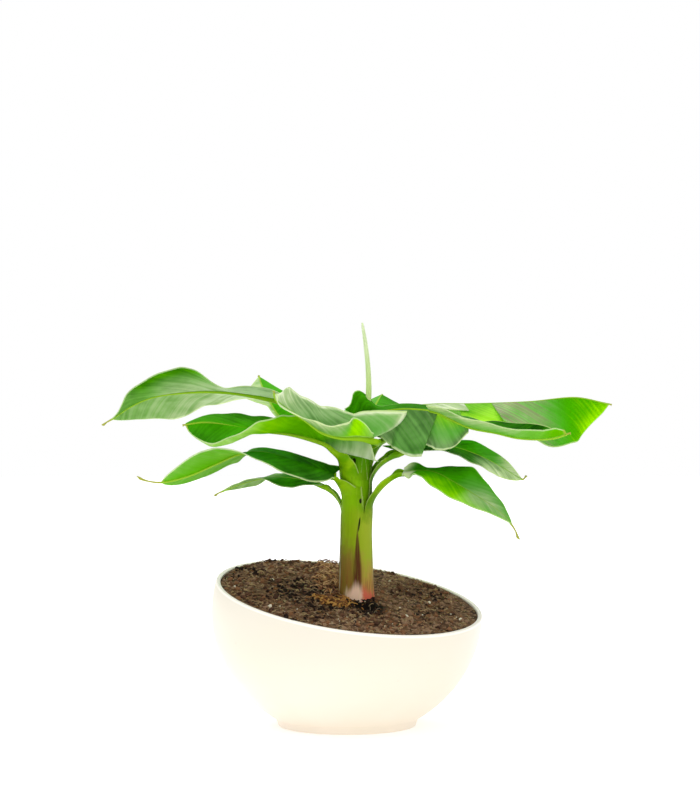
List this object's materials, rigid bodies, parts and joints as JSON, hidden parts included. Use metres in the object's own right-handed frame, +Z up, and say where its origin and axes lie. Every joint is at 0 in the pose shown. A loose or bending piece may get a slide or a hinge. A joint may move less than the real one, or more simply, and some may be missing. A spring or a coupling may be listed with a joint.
{
  "type": "potted banana plant",
  "caption": "Young potted banana plant: thick green false stem, broad arching leaves, one rolled new leaf, in a round white bowl with a slanted rim.",
  "frame": {"origin": "middle of the bowl's flat underside, on the surface it stands on", "axes": "+Z up, -Y towards the front, +X to the right, along the crown's longest spread"},
  "size_m": [0.594, 0.3613, 0.4481],
  "materials": {
    "bowl": "warm white plastic, satin gloss",
    "soil": "moist dark brown potting soil, crumbly and matt",
    "stem": "smooth yellow-green leaf sheaths, reddish at the foot",
    "stalk": "smooth yellow-green leaf stalk",
    "spear": "pale green rolled young leaf",
    "leaf": "glossy green upper side with fine side veins, paler matt underside"
  },
  "bodies": {
    "root": {"bowl": "bowl", "soil": "soil", "stem": "stem", "spear": "spear", "stalk_01": "stalk", "stalk_02": "stalk", "stalk_03": "stalk", "stalk_04": "stalk", "stalk_05": "stalk", "stalk_06": "stalk", "stalk_07": "stalk", "stalk_08": "stalk", "stalk_09": "stalk", "stalk_10": "stalk", "stalk_11": "stalk", "stalk_12": "stalk", "leaf_01": "leaf", "leaf_02": "leaf", "leaf_03": "leaf", "leaf_04": "leaf", "leaf_05": "leaf", "leaf_06": "leaf", "leaf_07": "leaf", "leaf_08": "leaf", "leaf_09": "leaf", "leaf_10": "leaf", "leaf_11": "leaf", "leaf_12": "leaf"}
  },
  "joints": []
}
